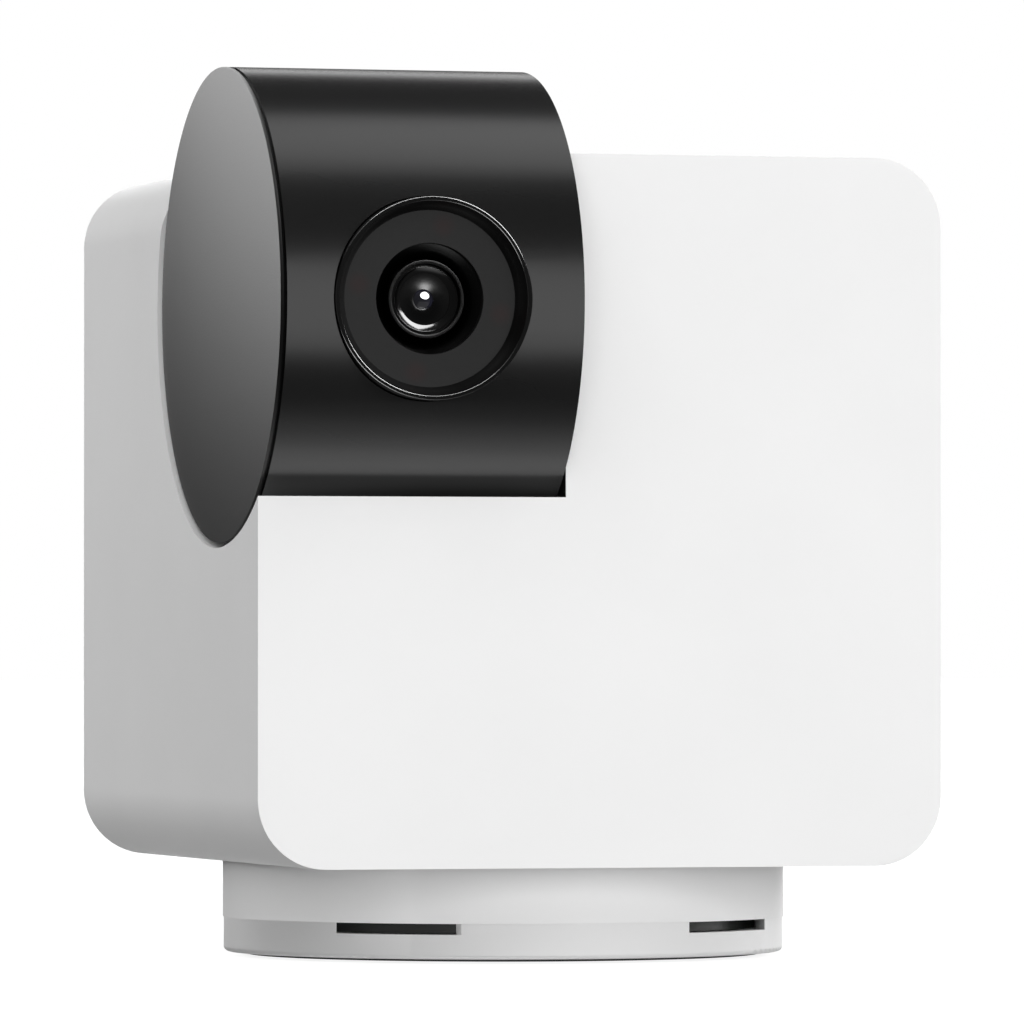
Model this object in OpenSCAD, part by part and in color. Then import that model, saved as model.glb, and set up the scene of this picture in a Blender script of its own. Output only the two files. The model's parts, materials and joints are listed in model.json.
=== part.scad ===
// Pan and tilt pet camera: a white cube that turns on a round base, with a black camera barrel
// that tilts in a notch at its upper left front corner.
// Millimetres. +Z is up, the lens looks along -Y, the origin is on the table under the pan axis.

/* [Body] */
// Width of the body, left to right
body_w = 66.5; // [64:0.5:76]
// Depth of the body, front to rear
body_d = 69; // [67:0.5:80]
// Height of the body
body_h = 66.6; // [66:0.2:76]
// Radius of the four long corners
corner_r = 6.5; // [5:0.5:9]
// Radius round the rear edge
rear_edge_r = 0.6; // [0.3:0.1:1]
// Thickness of the body's walls
wall = 2; // [1.6:0.1:2.4]
// Thickness of the body's floor
floor_t = 2.4; // [2.2:0.1:3]
// Height of the body's underside above the table
body_lift = 9; // [9:0.1:11]
// Distance from the pan axis to the front face
pan_to_front = 33.5; // [32:0.5:36]
// Thickness of the rear cover
cover_t = 2; // [1.6:0.1:2.4]

/* [Camera barrel] */
// Outer radius of the barrel
barrel_r = 22.35; // [21.5:0.05:22.8]
// Distance from the front face back to the tilt axis
barrel_from_front = 15.5; // [14.5:0.1:16.5]
// Distance from the top face down to the tilt axis
barrel_from_top = 13.9; // [13.2:0.1:15]
// Thickness of the barrel's wall
barrel_wall = 1.6; // [1.2:0.1:2]
// Width of the notch, from the left face to its right wall
notch_w = 29.63; // [28:0.01:31]
// Height of the tilt axis above the notch's front edge
notch_drop = 18.16; // [17.6:0.02:19]
// Radial gap between the barrel and the notch
pocket_gap = 0.5; // [0.4:0.05:0.7]
// How far the end cap lies below the left face
cap_recess = 0.35; // [0.2:0.05:0.6]
// Gap between the barrel's right end and the notch wall
end_gap = 0.2; // [0.15:0.05:0.5]
// Thickness of the notch's moulded walls
liner_t = 1.6; // [1.4:0.1:2]
// Width of the groove between end cap and barrel
groove_w = 0.33; // [0.2:0.01:0.5]

/* [Lens] */
// Outer radius of the lens bezel
bezel_r = 9.4; // [9.2:0.05:9.6]
// Gap round the bezel in the barrel's front hole
bezel_gap = 0.1; // [0.05:0.05:0.2]
// How far the bezel's lip stands in front of the barrel
bezel_proud = 0.25; // [0.1:0.05:0.5]
// Visible radius of the dark window
window_r = 8.15; // [8:0.05:8.3]
// Depth of the window below the bezel's lip
window_depth = 1.5; // [1.2:0.1:1.7]
// Radius of the window's round hole
window_hole_r = 5.12; // [5:0.02:5.3]
// Outer radius of the lens tube
lens_r = 3.64; // [3.5:0.02:3.7]
// Radius of the clear opening over the front element
pupil_r = 1.15; // [1:0.05:1.3]

/* [Base] */
// Outer radius of the base collar
base_r = 27.1; // [26.7:0.1:28]
// Height of the seam between foot and collar
base_seam = 3.6; // [3.6:0.05:3.8]
// How much smaller the foot is than the collar
foot_step = 0.1; // [0.05:0.05:0.3]
// Thickness of the base's walls
base_wall = 1.6; // [1.4:0.1:1.8]
// Height of the vent slots
slot_h = 1.04; // [0.8:0.02:1.1]
// Distance from the middle to the near end of a vent slot
slot_x = 11.2; // [10:0.1:12]
// Length of a vent slot
slot_l = 10; // [8:0.1:11]
// Thickness of the rubber foot pad
pad_t = 0.8; // [0.7:0.05:0.9]

/* [Drives] */
// Module of all gears
gear_module = 0.5; // [0.48:0.01:0.54]
// Teeth of the fixed pan gear
sun_teeth = 48; // [42:2:56]
// Teeth of the tilt gear
tilt_teeth = 36; // [34:1:40]
// Teeth of both motor pinions
pinion_teeth = 12; // [11:1:14]
// Outer radius of the hollow pan spindle
spindle_r = 8; // [7.8:0.1:8.2]
// Outer radius of the hollow tilt trunnion
trunnion_r = 6; // [5.8:0.1:6.2]
// Radial running clearance of spindle, trunnion and motor shafts
running_fit = 0.04; // [0.03:0.01:0.06]
// Radius of the gear motors
motor_r = 8.5; // [8:0.1:9]
// Length of the gear motors
motor_l = 15; // [13:0.5:16]

/* [Electronics] */
// Width of the main board
board_w = 44; // [40:0.5:46]
// Height of the main board
board_h = 31.5; // [30:0.5:31.5]
// Thickness of the circuit boards
board_t = 1; // [0.8:0.1:1.2]
// Radius of the loudspeaker
speaker_r = 11; // [10:0.1:11]
// Travel of the reset button
button_travel = 0.6; // [0.4:0.05:0.7]
// Radius of the reset button's stem
button_r = 2; // [1.6:0.1:2.2]
// Radius of the camera lead
lead_r = 1.2; // [1:0.05:1.3]

/* [Hidden] */
$fn = 96;
cut = 1;                 // overshoot of cutting shapes
snug = 0.02;             // radial clearance of pieces fixed in one another

// Body
body_x = body_w / 2;
front_y = -pan_to_front;
rear_y = front_y + body_d;
body_top = body_lift + body_h;
body_mid = body_lift + body_h / 2;
floor_z = body_lift + floor_t;
ceiling_z = body_top - wall;
cover_gap = 0.12;
cover_y = rear_y - cover_t;

// Notch and barrel
axis_y = front_y + barrel_from_front;
axis_z = body_top - barrel_from_top;
pocket_r = barrel_r + pocket_gap;
sweep_lift = 0.05;
front_open = 8;
notch_x = -body_x + notch_w;
wall_x = notch_x + liner_t;
barrel_left = -body_x + cap_recess;
barrel_right = notch_x - end_gap;
cap_lip = 0.3;
groove_depth = 0.45;
cap_spigot = 2;
shell_left = barrel_left + cap_lip + groove_w;
end_wall = 1.2;
bulkhead_reach = 27;
bulkhead_drop = 28;
bulkhead_rear = axis_y + bulkhead_reach;
bulkhead_low = axis_z - bulkhead_drop;

// Lens stack, measured back from the bezel's lip
lens_x = (barrel_left + barrel_right) / 2;
bezel_y = axis_y - barrel_r - bezel_proud;
lip_w = 0.42;
lip_edge = 0.1;
seat_s = 4.5;
flange_t = 1;
flange_r = bezel_r + 1.8;
boss_r = bezel_r + 2.2;
bezel_screw_at = bezel_r + 1.1;
window_t = 0.8;
window_seat = bezel_r - 0.75;
led_t = 0.85;
ir_s = window_depth + window_t + led_t;
ir_t = 0.8;
hood_wall = 0.48;
hood_s = ir_s + ir_t;
hood_t = 0.8;
lens_s = window_depth + 1.2;
lens_end = lens_s + 6.8;
holder_s = lens_s + 4.3;
holder_w = 12;
holder_len = 4.2;
sensor_s = holder_s + holder_len;
sensor_w = 6.8;
sensor_h = 5;
sensor_t = 0.8;
sensor_board_w = 22;
sensor_bite = 3.4;
post_off = 9.35;
post_r = 1.8;

// Base
foot_low = 0.25;
foot_r = base_r - foot_step;
foot_floor = foot_low + base_wall;
foot_edge_r = 0.5;
collar_top = body_lift + 0.3;
plate_z = collar_top - base_wall;
washer_t = 0.45;
washer_gap = 0.05;
recess_z = collar_top + washer_t + washer_gap;
recess_gap = 0.5;
pad_out = base_r - 2.1;
pad_gap = 0.15;
base_boss_at = base_r - 6.1;
base_boss_r = 3;
base_board_z = base_seam - board_t;
base_board_r = base_r - 2.8;
base_board_top = base_board_z + board_t;
slot_depth = 14;
usb_w = 8.94;
usb_h = 3.26;
usb_l = 7.35;
usb_wall = 0.3;
usb_round = 1.5;
usb_gap = 0.35;
usb_y = base_r - 0.4;
usb_z = base_board_top + usb_h / 2;

// Pan drive
spindle_flange_r = spindle_r + 4.5;
spindle_flange_t = 1.5;
spindle_low = plate_z - spindle_flange_t;
spindle_bore = 5;
hub_r = spindle_r + 3;
hub_top = floor_z + 1.2;
sun_z = hub_top + 0.15;
gear_t = 3;
clip_t = 0.6;
clip_gap = 0.05;
clip_z = sun_z + gear_t + clip_gap;
spindle_top = clip_z + clip_t + 1.2;
stop_in = 18;
stop_out = 22;
stop_depth = 0.8;
stop_half = 1.7;
pan_dir = 150;
pan_centres = gear_module * (sun_teeth + pinion_teeth) / 2;
pan_shaft = pan_centres * [cos(pan_dir), sin(pan_dir)];
motor_z = spindle_top + 0.6;

// Tilt drive
bushing_wall = 1.46;
bushing_r = trunnion_r + running_fit + bushing_wall;
bushing_flange = 1.1;
bushing_flange_t = 0.8;
side_gap = 0.45;
bearing_len = 5;
hub_plate_r = barrel_r - barrel_wall - 3.15;
hub_plate_t = 1.6;
hub_bore = 3.5;
hub_hole_r = hub_plate_r - 3.6;
tilt_gear_x = notch_x + bearing_len + bushing_flange_t + side_gap;
bracket_x = tilt_gear_x + gear_t + bushing_flange_t + side_gap;
bracket_t = 2;
bracket_right = bracket_x + bracket_t;
bracket_clear = 1;
bracket_lift = 1.5;
trunnion_clip_x = bracket_right + 0.15;
trunnion_clip_r = trunnion_r + 1.4;
trunnion_end = trunnion_clip_x + clip_t + 0.8;
clip_bite = 0.9;
tilt_dir = -45;
tilt_centres = gear_module * (tilt_teeth + pinion_teeth) / 2;
tilt_shaft = tilt_centres * [cos(tilt_dir), sin(tilt_dir)];
shaft_r = 1.5;
shaft_in = 2.5;
shaft_inset = 4;
motor_off = motor_r - shaft_inset;
ear_pitch = 2 * motor_r + 7;
ear_w = 6;
ear_t = 1;

// Fasteners
screw_r = 1;
head_r = 1.9;
head_h = 1.1;
cross_w = 0.5;
short_screw = 5;
long_screw = 7;
cover_screw = 8;

// Posts that carry the tilt bracket, in Y and Z
bracket_post_r = 2.6;
bracket_posts = [
    for (y = [front_y + wall + 0.6 + bracket_post_r, bulkhead_rear - 3.5],
        z = [bulkhead_low + 4.3, ceiling_z - 0.3 - bracket_post_r]) [y, z]];

// Rear cover, board and sound
boss_in = 3.9;
cover_boss_r = 4.3;
cover_boss_l = 11;
cover_screws_at = [for (x = [-1, 1], z = [floor_z + boss_in, ceiling_z - boss_in])
    [x * (body_x - wall - boss_in), z]];
standoff_l = 5;
standoff_r = 2.5;
board_y = cover_y - standoff_l - board_t;
board_top = ceiling_z - 5;
board_low = board_top - board_h;
board_posts_at = [for (x = [-1, 1], z = [board_low + 3, board_top - 3]) [x * (board_w / 2 - 3), z]];
speaker_z = floor_z + speaker_r + 1.6;
speaker_l = 4.8;
speaker_rim = 1.5;
speaker_basket = 3;
basket_r = speaker_r - 2.2;
magnet_r = speaker_r - 4.4;
seat_gap = 0.1;
speaker_rib = 1;
rib_h = 3;
grille_r = 0.6;
grille_step = 2.6;
grille_rings = 3;
button_at = [12, board_low + 9];
button_flange = 3.2;
button_flange_t = 0.8;
button_sink = 0.2;
switch_w = 4.6;
switch_t = 1.5;
mic_at = [-12, board_low + 21];
mic_hole_r = 0.5;
plug_w = 6;
plug_h = 3;
plug_t = 2;
shield_w = 20;
shield_h = 16;
shield_t = 2.2;
shield_at = [-16, board_low + 9];
antenna_l = 24;
antenna_h = 10;
antenna_t = 0.25;
antenna_in = 11.5;
antenna_drop = 13.9;
power_r = 1.3;
power_bend = 6;
power_run_z = bulkhead_low - power_r - 0.5;
power_plug_up = 4.5;
power_plug_z = board_low + power_plug_up;
power_rise_y = board_y - power_r - 0.2;
camera_bend = 4;
camera_lead_x = trunnion_end + 0.1 + camera_bend;

// Solids along the axes
module bar_x(x0, x1, y, z, r) translate([x0, y, z]) rotate([0, 90, 0]) cylinder(r = r, h = x1 - x0);
module bar_y(y0, y1, x, z, r) translate([x, y0, z]) rotate([-90, 0, 0]) cylinder(r = r, h = y1 - y0);
module bar_z(z0, z1, x, y, r) translate([x, y, z0]) cylinder(r = r, h = z1 - z0);
module box(x0, x1, y0, y1, z0, z1) translate([x0, y0, z0]) cube([x1 - x0, y1 - y0, z1 - z0]);

// A flat shape in Y and Z, drawn round a point and extruded from x0 to x1
module slab_x(x0, x1, y, z) translate([x0, y, z]) rotate([90, 0, 90]) linear_extrude(x1 - x0) children();

// A flat shape in X and Z, drawn round a point and extruded from y0 to y1
module slab_y(y0, y1, x, z) translate([x, y1, z]) rotate([90, 0, 0]) linear_extrude(y1 - y0) children();

// A profile of radius and depth, turned round the lens axis
module lens_turn() translate([lens_x, bezel_y, axis_z]) rotate([-90, 0, 0]) rotate_extrude() children();

module rounded_square(w, h, r) {
    square([w - 2 * r, h], center = true);
    square([w, h - 2 * r], center = true);
    for (x = [-1, 1], y = [-1, 1])
        translate([x * (w / 2 - r), y * (h / 2 - r)]) circle(r);
}

// A quarter bend of a round lead, from +X at the origin to +Y
module quarter_bend(bend, r) rotate_extrude(angle = 90) translate([bend, 0]) circle(r, $fn = 32);

// Pan-head screw standing on z = 0, with its shank below and a cross in its head
module screw(shank, length, head, height) {
    translate([0, 0, -length]) cylinder(r = shank, h = length + height / 2, $fn = 32);
    difference() {
        cylinder(r = head, h = height, $fn = 48);
        for (a = [0, 90])
            rotate(a) translate([-head * 0.6, -cross_w / 2, height / 2]) cube([head * 1.2, cross_w, height]);
    }
}

// Involute gear outline with a tooth on +X
function inv(a) = tan(a) * 180 / PI - a;
pressure = 25;
backlash = 0.14;
flank_steps = 3;
function tooth_half(teeth, r) =
    let (pitch = gear_module * teeth / 2, base = pitch * cos(pressure))
    90 / teeth - backlash / 2 / pitch * 180 / PI + inv(pressure) - (r > base ? inv(acos(base / r)) : 0);
function gear_outline(teeth) =
    let (pitch = gear_module * teeth / 2, base = pitch * cos(pressure),
        root = pitch - 1.2 * gear_module, tip = pitch + 0.9 * gear_module, low = max(base, root),
        flank = [for (k = [0:flank_steps]) low + (tip - low) * k / flank_steps],
        radii = concat(root < base ? [root] : [], flank))
    [for (i = [0:teeth - 1]) each concat(
        [for (r = radii) r * dir(360 / teeth * i - tooth_half(teeth, r))],
        [for (k = [len(radii) - 1:-1:0]) radii[k] * dir(360 / teeth * i + tooth_half(teeth, radii[k]))])];
function dir(a) = [cos(a), sin(a)];

// Turn of a pinion that meshes with a gear whose axis lies the other way from its own
function mesh_turn(towards, teeth) = towards + 180 + towards * teeth / pinion_teeth - 180 / pinion_teeth;

// A sector of a ring, for stops, centred on an angle
module ring_sector(r0, r1, middle, half)
    polygon([r0 * dir(middle - half), r1 * dir(middle - half),
        r1 * dir(middle + half), r0 * dir(middle + half)]);

// Gear motor with its shaft bore on the origin, its can above z = 0 and beside the bore on +X
module gear_motor() difference() {
    union() {
        translate([motor_off, 0, 0]) cylinder(r = motor_r, h = motor_l);
        translate([motor_off, 0, 0]) linear_extrude(ear_t) {
            square([ear_w, ear_pitch], center = true);
            for (y = [-1, 1])
                translate([0, y * ear_pitch / 2]) circle(ear_w / 2);
        }
    }
    translate([0, 0, -cut]) cylinder(r = shaft_r + running_fit, h = shaft_in + 0.3 + cut);
    for (y = [-1, 1])
        translate([motor_off, y * ear_pitch / 2, -cut]) cylinder(r = screw_r + snug, h = ear_t + 2 * cut);
}

// Puts a motor or what belongs to it on the pan pinion's or the tilt pinion's axis
module at_pan_motor() translate([pan_shaft[0], pan_shaft[1], motor_z]) rotate(pan_dir) children();
module at_tilt_motor()
    translate([bracket_right, axis_y + tilt_shaft[0], axis_z + tilt_shaft[1]])
        rotate([tilt_dir, 0, 0]) rotate([90, 0, 90]) children();

// Base, which stands still
module base_foot() color("white") difference() {
    rotate_extrude() {
        translate([0, foot_low + foot_edge_r]) square([foot_r, base_seam - foot_low - foot_edge_r]);
        translate([0, foot_low]) square([foot_r - foot_edge_r, foot_edge_r]);
        translate([foot_r - foot_edge_r, foot_low + foot_edge_r]) circle(foot_edge_r);
    }
    difference() {
        bar_z(foot_floor, base_seam + cut, 0, 0, foot_r - base_wall);
        base_boss_places() bar_z(foot_low, base_board_z, 0, 0, base_boss_r + 0.6);
    }
    bar_z(0, pad_t, 0, 0, pad_out + pad_gap);
    base_boss_places() {
        bar_z(0, base_board_z + cut, 0, 0, screw_r + 0.2);
        bar_z(0, foot_floor + 0.15, 0, 0, head_r + 0.2);
    }
    for (x = [-slot_x - slot_l, slot_x], y = [-foot_r - cut, foot_r - slot_depth])
        box(x, x + slot_l, y, y + slot_depth + cut, base_seam - slot_h, base_seam + cut);
}

module base_boss_places()
    for (a = [20, 160, 200, 340])
        translate(base_boss_at * [cos(a), sin(a), 0]) children();

module base_collar() color("white") {
    difference() {
        union() {
            difference() {
                bar_z(base_seam, collar_top, 0, 0, base_r);
                bar_z(base_seam - cut, plate_z, 0, 0, base_r - base_wall);
            }
            base_boss_places() bar_z(base_board_top, plate_z + cut / 2, 0, 0, base_boss_r);
        }
        bar_z(plate_z - cut, collar_top + cut, 0, 0, spindle_r + snug);
        base_boss_places() bar_z(base_board_top - cut, plate_z - 0.4, 0, 0, screw_r + snug);
        spindle_screw_places() bar_z(plate_z - cut, collar_top - 0.5, 0, 0, screw_r * 0.8 + snug);
        difference() {
            translate([0, 0, collar_top - stop_depth]) linear_extrude(stop_depth + cut) difference() {
                circle(stop_out);
                circle(stop_in);
            }
            translate([0, 0, plate_z]) linear_extrude(base_wall)
                ring_sector(stop_in - cut, stop_out + cut, 90, stop_half);
        }
        box(-usb_w / 2 - usb_gap, usb_w / 2 + usb_gap, usb_y - usb_l, base_r + cut,
            base_seam - cut, usb_z + usb_h / 2 + usb_gap);
    }
}

module foot_pad() color("dimgray") bar_z(0, pad_t, 0, 0, pad_out);

module base_screws() color("silver")
    base_boss_places() translate([0, 0, foot_floor + 0.15]) rotate([180, 0, 0])
        screw(screw_r, plate_z - 0.6 - foot_floor - 0.15, head_r, head_h - 0.1);

module pan_spindle() color("gainsboro") difference() {
    union() {
        bar_z(spindle_low, plate_z, 0, 0, spindle_flange_r);
        bar_z(spindle_low, spindle_top, 0, 0, spindle_r);
    }
    bar_z(spindle_low - cut, spindle_top + cut, 0, 0, spindle_bore);
    spindle_screw_places() bar_z(spindle_low - cut, plate_z + cut, 0, 0, screw_r * 0.8 + snug);
    difference() {
        bar_z(clip_z - clip_gap / 2, clip_z + clip_t + clip_gap / 2, 0, 0, spindle_r + cut);
        bar_z(clip_z - cut, clip_z + clip_t + cut, 0, 0, spindle_r - clip_bite);
    }
}

module spindle_screw_places()
    for (a = [30, 150, 270])
        translate((spindle_r + spindle_flange_r) / 2 * [cos(a), sin(a), 0]) children();

module spindle_screws() color("silver")
    spindle_screw_places() translate([0, 0, spindle_low]) rotate([180, 0, 0])
        screw(screw_r * 0.8, collar_top - 0.6 - spindle_low, head_r * 0.8, head_h);

module thrust_washer() color("ivory") difference() {
    bar_z(collar_top, collar_top + washer_t, 0, 0, spindle_flange_r + 0.5);
    bar_z(collar_top - cut, collar_top + washer_t + cut, 0, 0, spindle_r + 0.15);
}

module pan_sun_gear() color("ivory") difference() {
    translate([0, 0, sun_z]) linear_extrude(gear_t) polygon(gear_outline(sun_teeth));
    bar_z(sun_z - cut, sun_z + gear_t + cut, 0, 0, spindle_r + snug);
}

// Open clip in a groove of a round post, drawn flat
module open_clip(post, outer) difference() {
    circle(outer);
    circle(post - clip_bite + snug);
    translate([0, -post * 0.55]) square([outer + cut, post * 1.1]);
}

module spindle_clip() color("gray")
    translate([0, 0, clip_z]) linear_extrude(clip_t) open_clip(spindle_r, spindle_r + 1.2);

module base_board() color("darkgreen") difference() {
    bar_z(base_board_z, base_board_top, 0, 0, base_board_r);
    base_boss_places() bar_z(base_board_z - cut, base_board_top + cut, 0, 0, screw_r + 0.2);
}

module usb_port() color("silver") difference() {
    slab_y(usb_y - usb_l, usb_y, 0, usb_z) rounded_square(usb_w, usb_h, usb_round);
    slab_y(usb_y - usb_l + 2 * usb_wall, usb_y + cut, 0, usb_z)
        rounded_square(usb_w - 2 * usb_wall, usb_h - 2 * usb_wall, usb_round - usb_wall);
}

module usb_tongue() color("black")
    box(-usb_w * 0.375, usb_w * 0.375, usb_y - usb_l + 2 * usb_wall, usb_y - 1, usb_z - 0.35, usb_z + 0.35);

module power_lead_lower() color("dimgray") {
    bar_z(base_board_top, spindle_top + 1, 0, 0, power_r);
    box(-plug_w / 2, plug_w / 2, -plug_h / 2, plug_h / 2, base_board_top, base_board_top + 1.4);
}

// Body, which pans on the base
module body_outer() {
    slab_y(front_y, rear_y - rear_edge_r, 0, body_mid) rounded_square(body_w, body_h, corner_r);
    slab_y(front_y, rear_y, 0, body_mid)
        rounded_square(body_w - 2 * rear_edge_r, body_h - 2 * rear_edge_r, corner_r - rear_edge_r);
    for (s = [-1, 1]) {
        bar_x(-body_x + corner_r, body_x - corner_r, rear_y - rear_edge_r,
            body_mid + s * (body_h / 2 - rear_edge_r), rear_edge_r);
        bar_z(body_lift + corner_r, body_top - corner_r, s * (body_x - rear_edge_r),
            rear_y - rear_edge_r, rear_edge_r);
        for (t = [-1, 1])
            translate([s * (body_x - corner_r), rear_y - rear_edge_r, body_mid + t * (body_h / 2 - corner_r)])
                rotate([90, 0, 0]) rotate_extrude() translate([corner_r - rear_edge_r, 0]) circle(rear_edge_r);
    }
}

module body_cavity()
    slab_y(front_y + wall, rear_y + cut, 0, (floor_z + ceiling_z) / 2)
        rounded_square(body_w - 2 * wall, ceiling_z - floor_z, corner_r - wall);

// Notch profile round the tilt axis: a circle, and a wider sweep from its foot to the notch's front edge
module notch_profile(extra) {
    edge = [-barrel_from_front, -notch_drop - 1.3 * extra];
    round_r = pocket_r + extra;
    rise = edge[1] + round_r - sweep_lift;
    sweep_r = (edge[0] * edge[0] + rise * rise) / (2 * rise);
    circle(round_r);
    intersection() {
        translate([0, sweep_r + sweep_lift - round_r]) circle(sweep_r);
        translate([edge[0], -round_r]) square([barrel_from_front, round_r]);
    }
    translate(edge - [front_open, 0]) square([barrel_from_front + front_open, -edge[1]]);
}

module notch() slab_x(-body_x - cut, notch_x, axis_y, axis_z) notch_profile(0);

module body_shell() color("white") {
    difference() {
        union() {
            difference() {
                body_outer();
                body_cavity();
            }
            intersection() {
                body_outer();
                union() {
                    slab_x(-body_x, wall_x, axis_y, axis_z) notch_profile(liner_t);
                    box(notch_x, wall_x, front_y, bulkhead_rear, bulkhead_low, body_top);
                }
            }
            bar_x(notch_x, notch_x + bearing_len, axis_y, axis_z, bushing_r + 2.4);
            for (p = bracket_posts)
                bar_x(wall_x - cut / 2, bracket_x, p[0], p[1], bracket_post_r);
            bar_z(floor_z - cut / 2, hub_top, 0, 0, hub_r);
            at_pan_motor() motor_ear_places() bar_z(floor_z - motor_z - cut / 2, 0, 0, 0, bracket_post_r);
            for (p = cover_screws_at)
                bar_y(cover_y - cover_boss_l, cover_y, p[0], p[1], cover_boss_r);
        }
        notch();
        bar_z(body_lift - cut, recess_z, 0, 0, base_r + recess_gap);
        bar_z(body_lift, hub_top + cut, 0, 0, spindle_r + running_fit);
        bar_x(notch_x - cut, notch_x + bearing_len + cut, axis_y, axis_z, bushing_r + snug);
        for (p = bracket_posts)
            bar_x(wall_x + 2, bracket_x + cut, p[0], p[1], screw_r + snug);
        at_pan_motor() motor_ear_places() bar_z(-short_screw, cut, 0, 0, screw_r + snug);
        for (p = cover_screws_at)
            bar_y(cover_y - cover_boss_l + 2, cover_y + cut, p[0], p[1], screw_r + snug);
    }
    translate([0, 0, collar_top - stop_depth + 0.2])
        linear_extrude(recess_z - collar_top + stop_depth)
            ring_sector(stop_in + 0.4, stop_out - 0.4, -90, stop_half);
}

module motor_ear_places()
    for (y = [-1, 1])
        translate([motor_off, y * ear_pitch / 2, 0]) children();

module rear_cover() color("white") difference() {
    union() {
        slab_y(cover_y, rear_y, 0, (floor_z + ceiling_z) / 2)
            rounded_square(body_w - 2 * wall - 2 * cover_gap, ceiling_z - floor_z - 2 * cover_gap,
                corner_r - wall - cover_gap);
        for (p = board_posts_at)
            bar_y(cover_y - standoff_l, cover_y + cut / 2, p[0], p[1], standoff_r);
        difference() {
            bar_y(cover_y - rib_h, cover_y + cut / 2, 0, speaker_z, speaker_r + 0.15 + speaker_rib);
            bar_y(cover_y - rib_h - cut, cover_y, 0, speaker_z, speaker_r + 0.15);
        }
        difference() {
            bar_y(cover_y - 1.8, cover_y + cut / 2, button_at[0], button_at[1], button_flange + 1.2);
            bar_y(cover_y - 1.8 - cut, cover_y, button_at[0], button_at[1], button_flange + 0.3);
        }
    }
    for (p = cover_screws_at) {
        bar_y(cover_y - cut, rear_y + cut, p[0], p[1], screw_r + 0.2);
        bar_y(rear_y - head_h - 0.1, rear_y + cut, p[0], p[1], head_r + 0.2);
    }
    for (p = board_posts_at)
        bar_y(cover_y - standoff_l - cut, cover_y - 0.6, p[0], p[1], screw_r + snug);
    for (ring = [0:grille_rings], k = [0:max(1, 6 * ring) - 1])
        bar_y(cover_y - cut, rear_y + cut, ring * grille_step * cos(60 / max(1, ring) * k),
            speaker_z + ring * grille_step * sin(60 / max(1, ring) * k), grille_r);
    bar_y(cover_y - cut, rear_y + cut, button_at[0], button_at[1], button_r + 0.15);
    bar_y(cover_y - cut, rear_y + cut, mic_at[0], mic_at[1], mic_hole_r);
}

module cover_screws() color("silver")
    for (p = cover_screws_at)
        translate([p[0], rear_y - head_h - 0.1, p[1]]) rotate([-90, 0, 0])
            screw(screw_r, cover_screw, head_r, head_h);

module pan_motor() color("silver") at_pan_motor() gear_motor();

module pan_motor_screws() color("gray")
    at_pan_motor() motor_ear_places() translate([0, 0, ear_t]) screw(screw_r, short_screw, head_r, head_h);

module tilt_bracket() color("lightgray") difference() {
    box(bracket_x, bracket_right, front_y + wall + bracket_clear, bulkhead_rear - 0.5,
        bulkhead_low + bracket_lift, ceiling_z - bracket_clear);
    bar_x(bracket_x - cut, bracket_right + cut, axis_y, axis_z, bushing_r + snug);
    bar_x(bracket_x - cut, bracket_right + cut, axis_y + tilt_shaft[0], axis_z + tilt_shaft[1], shaft_r + 1);
    for (p = bracket_posts)
        bar_x(bracket_x - cut, bracket_right + cut, p[0], p[1], screw_r + 0.2);
    at_tilt_motor() motor_ear_places() bar_z(-bracket_t - cut, cut, 0, 0, screw_r + snug);
}

module bracket_screws() color("gray")
    for (p = bracket_posts)
        translate([bracket_right, p[0], p[1]]) rotate([0, 90, 0])
            screw(screw_r, long_screw, head_r, head_h);

// Flanged bearing bush on the tilt axis, its flange towards +X or -X
module bushing(x0, x1, flange_x0, flange_x1) difference() {
    union() {
        bar_x(x0, x1, axis_y, axis_z, bushing_r);
        bar_x(flange_x0, flange_x1, axis_y, axis_z, bushing_r + bushing_flange);
    }
    bar_x(min(x0, flange_x0) - cut, max(x1, flange_x1) + cut, axis_y, axis_z, trunnion_r + running_fit);
}

module inner_bushing() color("goldenrod")
    bushing(notch_x + 0.2, notch_x + bearing_len,
        notch_x + bearing_len, notch_x + bearing_len + bushing_flange_t);
module outer_bushing() color("goldenrod")
    bushing(bracket_x, bracket_right, bracket_x - bushing_flange_t, bracket_x);

module tilt_motor() color("silver") at_tilt_motor() gear_motor();

module tilt_motor_screws() color("gray")
    at_tilt_motor() motor_ear_places() translate([0, 0, ear_t])
        screw(screw_r, ear_t + bracket_t, head_r, head_h);

module main_board() color("darkgreen") difference() {
    box(-board_w / 2, board_w / 2, board_y, board_y + board_t, board_low, board_top);
    for (p = board_posts_at)
        bar_y(board_y - cut, board_y + board_t + cut, p[0], p[1], screw_r + 0.2);
}

module board_screws() color("gray")
    for (p = board_posts_at)
        translate([p[0], board_y, p[1]]) rotate([90, 0, 0]) screw(screw_r, short_screw, head_r, head_h);

module shield_can() color("silver")
    box(shield_at[0], shield_at[0] + shield_w, board_y - shield_t, board_y,
        shield_at[1], shield_at[1] + shield_h);

module reset_switch() color("black")
    box(button_at[0] - switch_w / 2, button_at[0] + switch_w / 2, board_y + board_t,
        board_y + board_t + switch_t, button_at[1] - switch_w / 2, button_at[1] + switch_w / 2);

module microphone() color("silver")
    box(mic_at[0] - 1.9, mic_at[0] + 1.9, board_y + board_t, board_y + board_t + 1.1,
        mic_at[1] - 1.5, mic_at[1] + 1.5);

module mic_gasket() color("dimgray") difference() {
    bar_y(board_y + board_t + 1.1, cover_y, mic_at[0], mic_at[1], 1.4);
    bar_y(board_y + board_t + 1.1 - cut, cover_y + cut, mic_at[0], mic_at[1], mic_hole_r);
}

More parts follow.
